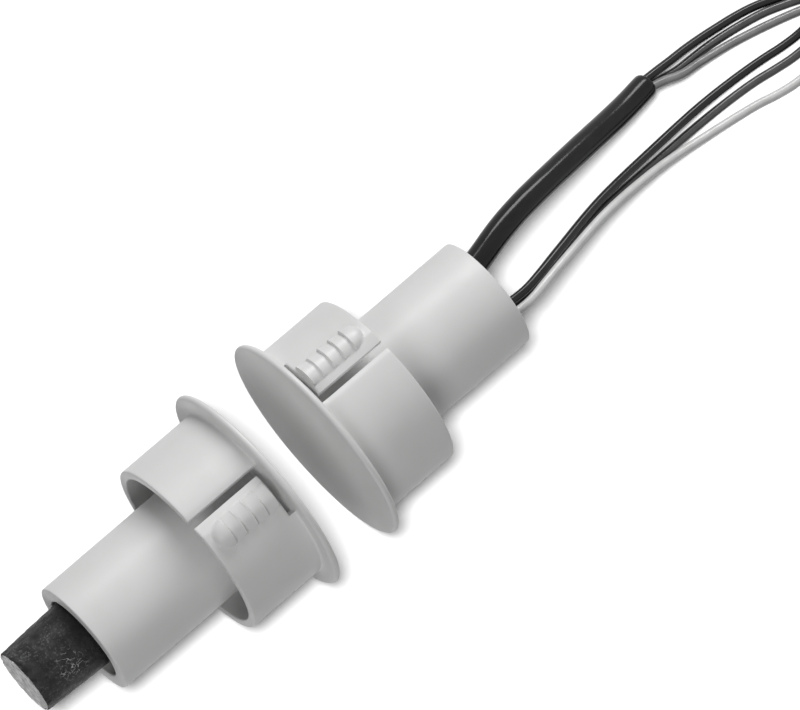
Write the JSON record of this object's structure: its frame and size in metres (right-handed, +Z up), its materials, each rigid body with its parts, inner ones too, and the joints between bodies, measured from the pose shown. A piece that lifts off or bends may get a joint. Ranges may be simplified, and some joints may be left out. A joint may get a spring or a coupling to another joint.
{
  "type": "recessed magnetic contact",
  "caption": "Press-in magnetic contact for a drilled door frame: a wired reed switch half and a magnet half, each held by barbed spring fingers.",
  "frame": {"origin": "on the common axis, in the plane of the switch flange's back, where the drilled hole in the frame begins", "axes": "+X runs into the hole along the switch tube, the magnet half lies towards -X, +Z is up"},
  "size_m": [0.1708, 0.0502, 0.0305],
  "materials": {
    "white_moulding": "satin injection-moulded white",
    "cast_magnet": "rough cast sides with ground ends",
    "adhesive": "cured adhesive",
    "potting": "cast resin",
    "reed_glass": "clear greenish glass",
    "reed_alloy": "plated nickel-iron",
    "solder": "solder",
    "sleeve": "glossy black sleeving",
    "insulation_black": "extruded insulation",
    "insulation_dark_grey": "extruded insulation",
    "insulation_grey": "extruded insulation",
    "insulation_white": "extruded insulation",
    "tie": "moulded nylon",
    "tinned_copper": "tinned strands"
  },
  "bodies": {
    "root": {"switch_housing": "white_moulding", "magnet_housing": "white_moulding", "magnet_rod": "cast_magnet", "magnet_adhesive": "adhesive", "potting": "potting", "reed_a_glass": "reed_glass", "reed_a_common_blade": "reed_alloy", "reed_a_open_blade": "reed_alloy", "reed_a_closed_blade": "reed_alloy", "reed_b_glass": "reed_glass", "reed_b_common_blade": "reed_alloy", "reed_b_open_blade": "reed_alloy", "reed_b_closed_blade": "reed_alloy", "bare_lead_joint_black": "solder", "bare_lead_joint_grey": "solder", "bare_lead_joint_white": "solder", "sleeved_lead_joint_black": "solder", "sleeved_lead_joint_dark_grey": "solder", "sleeved_lead_joint_grey": "solder", "lead_sleeve": "sleeve", "bare_lead_black": "insulation_black", "bare_lead_grey": "insulation_dark_grey", "bare_lead_white": "insulation_white", "sleeved_lead_black": "insulation_black", "sleeved_lead_dark_grey": "insulation_dark_grey", "sleeved_lead_grey": "insulation_grey", "bare_tail_black": "insulation_black", "bare_tail_grey": "insulation_dark_grey", "bare_tail_white": "insulation_white", "sleeved_tail_black": "insulation_black", "sleeved_tail_dark_grey": "insulation_dark_grey", "sleeved_tail_grey": "insulation_grey", "lead_coil": "insulation_dark_grey", "coil_tie": "tie", "bare_conductor_black": "tinned_copper", "bare_conductor_grey": "tinned_copper", "bare_conductor_white": "tinned_copper", "sleeved_conductor_black": "tinned_copper", "sleeved_conductor_dark_grey": "tinned_copper", "sleeved_conductor_grey": "tinned_copper"}
  },
  "joints": []
}
